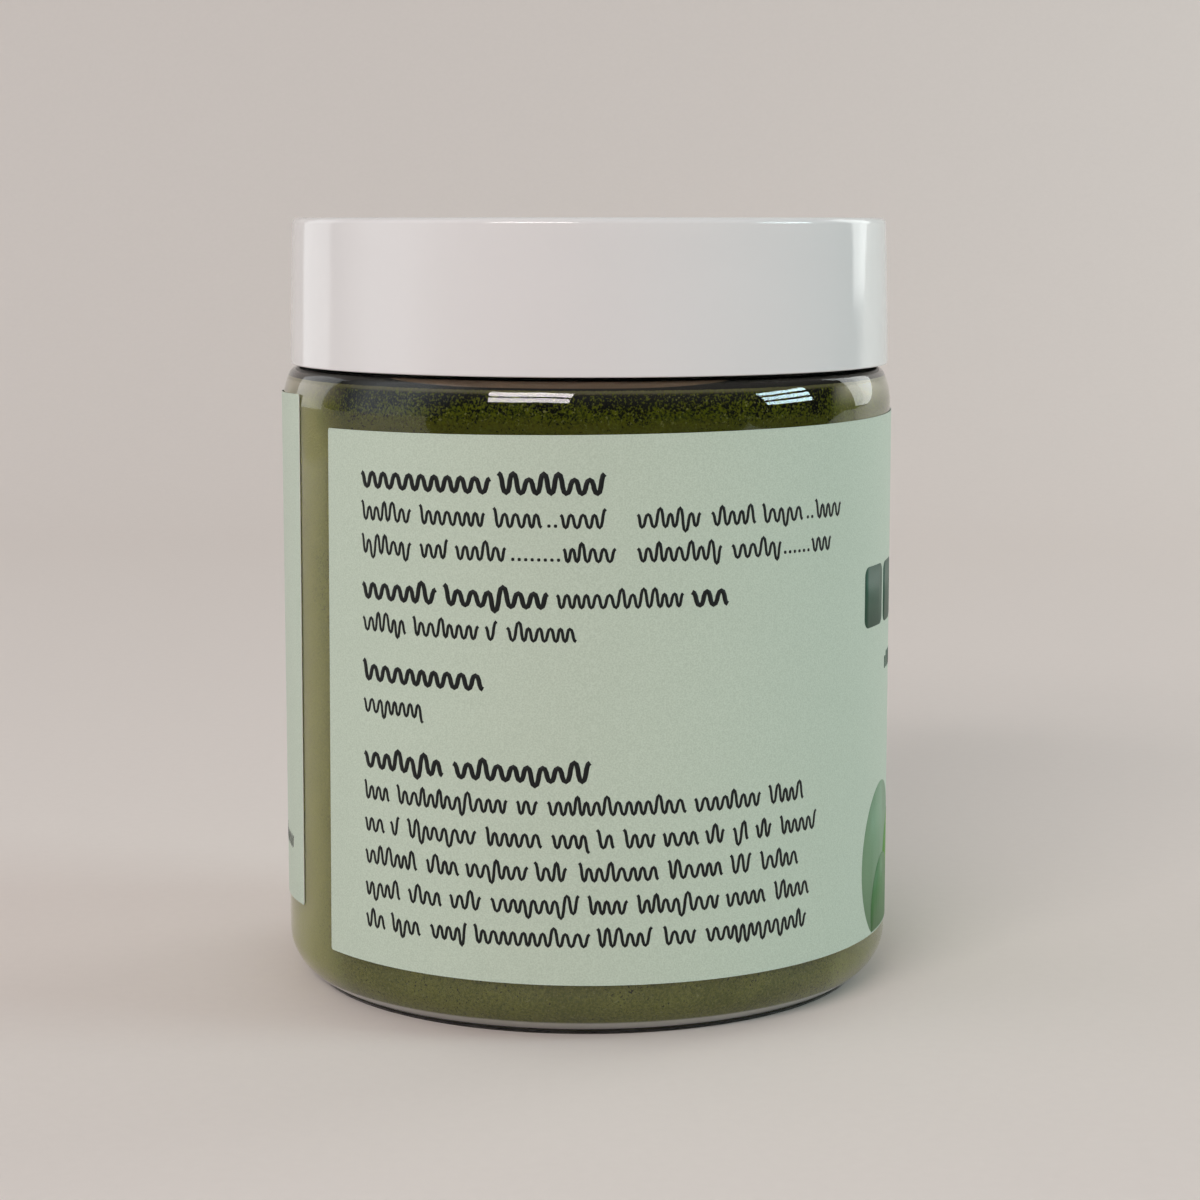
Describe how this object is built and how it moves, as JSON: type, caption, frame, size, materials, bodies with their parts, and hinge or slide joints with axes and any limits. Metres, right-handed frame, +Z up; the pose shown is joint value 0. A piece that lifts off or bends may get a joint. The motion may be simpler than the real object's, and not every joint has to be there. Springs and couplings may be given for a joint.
{
  "type": "jar of spinach powder",
  "caption": "Clear straight-sided screw-top jar filled with ground spinach leaf, with a white lid and a pale green wrap-round paper label.",
  "frame": {"origin": "middle of the base, on the surface that the jar stands on", "axes": "+Z up along the jar's axis, -Y out of the front of the label, +X to the right of it"},
  "size_m": [0.0738, 0.0738, 0.0911],
  "materials": {
    "clear_plastic": "clear, glossy blow-moulded plastic",
    "white_plastic": "smooth glossy white moulded plastic",
    "leaf_powder": "fine matt olive-green powder with darker flecks",
    "mint_paper": "satin coated paper, pale mint green"
  },
  "bodies": {
    "root": {"jar": "clear_plastic", "lid": "white_plastic", "powder": "leaf_powder", "label": "mint_paper"}
  },
  "joints": []
}
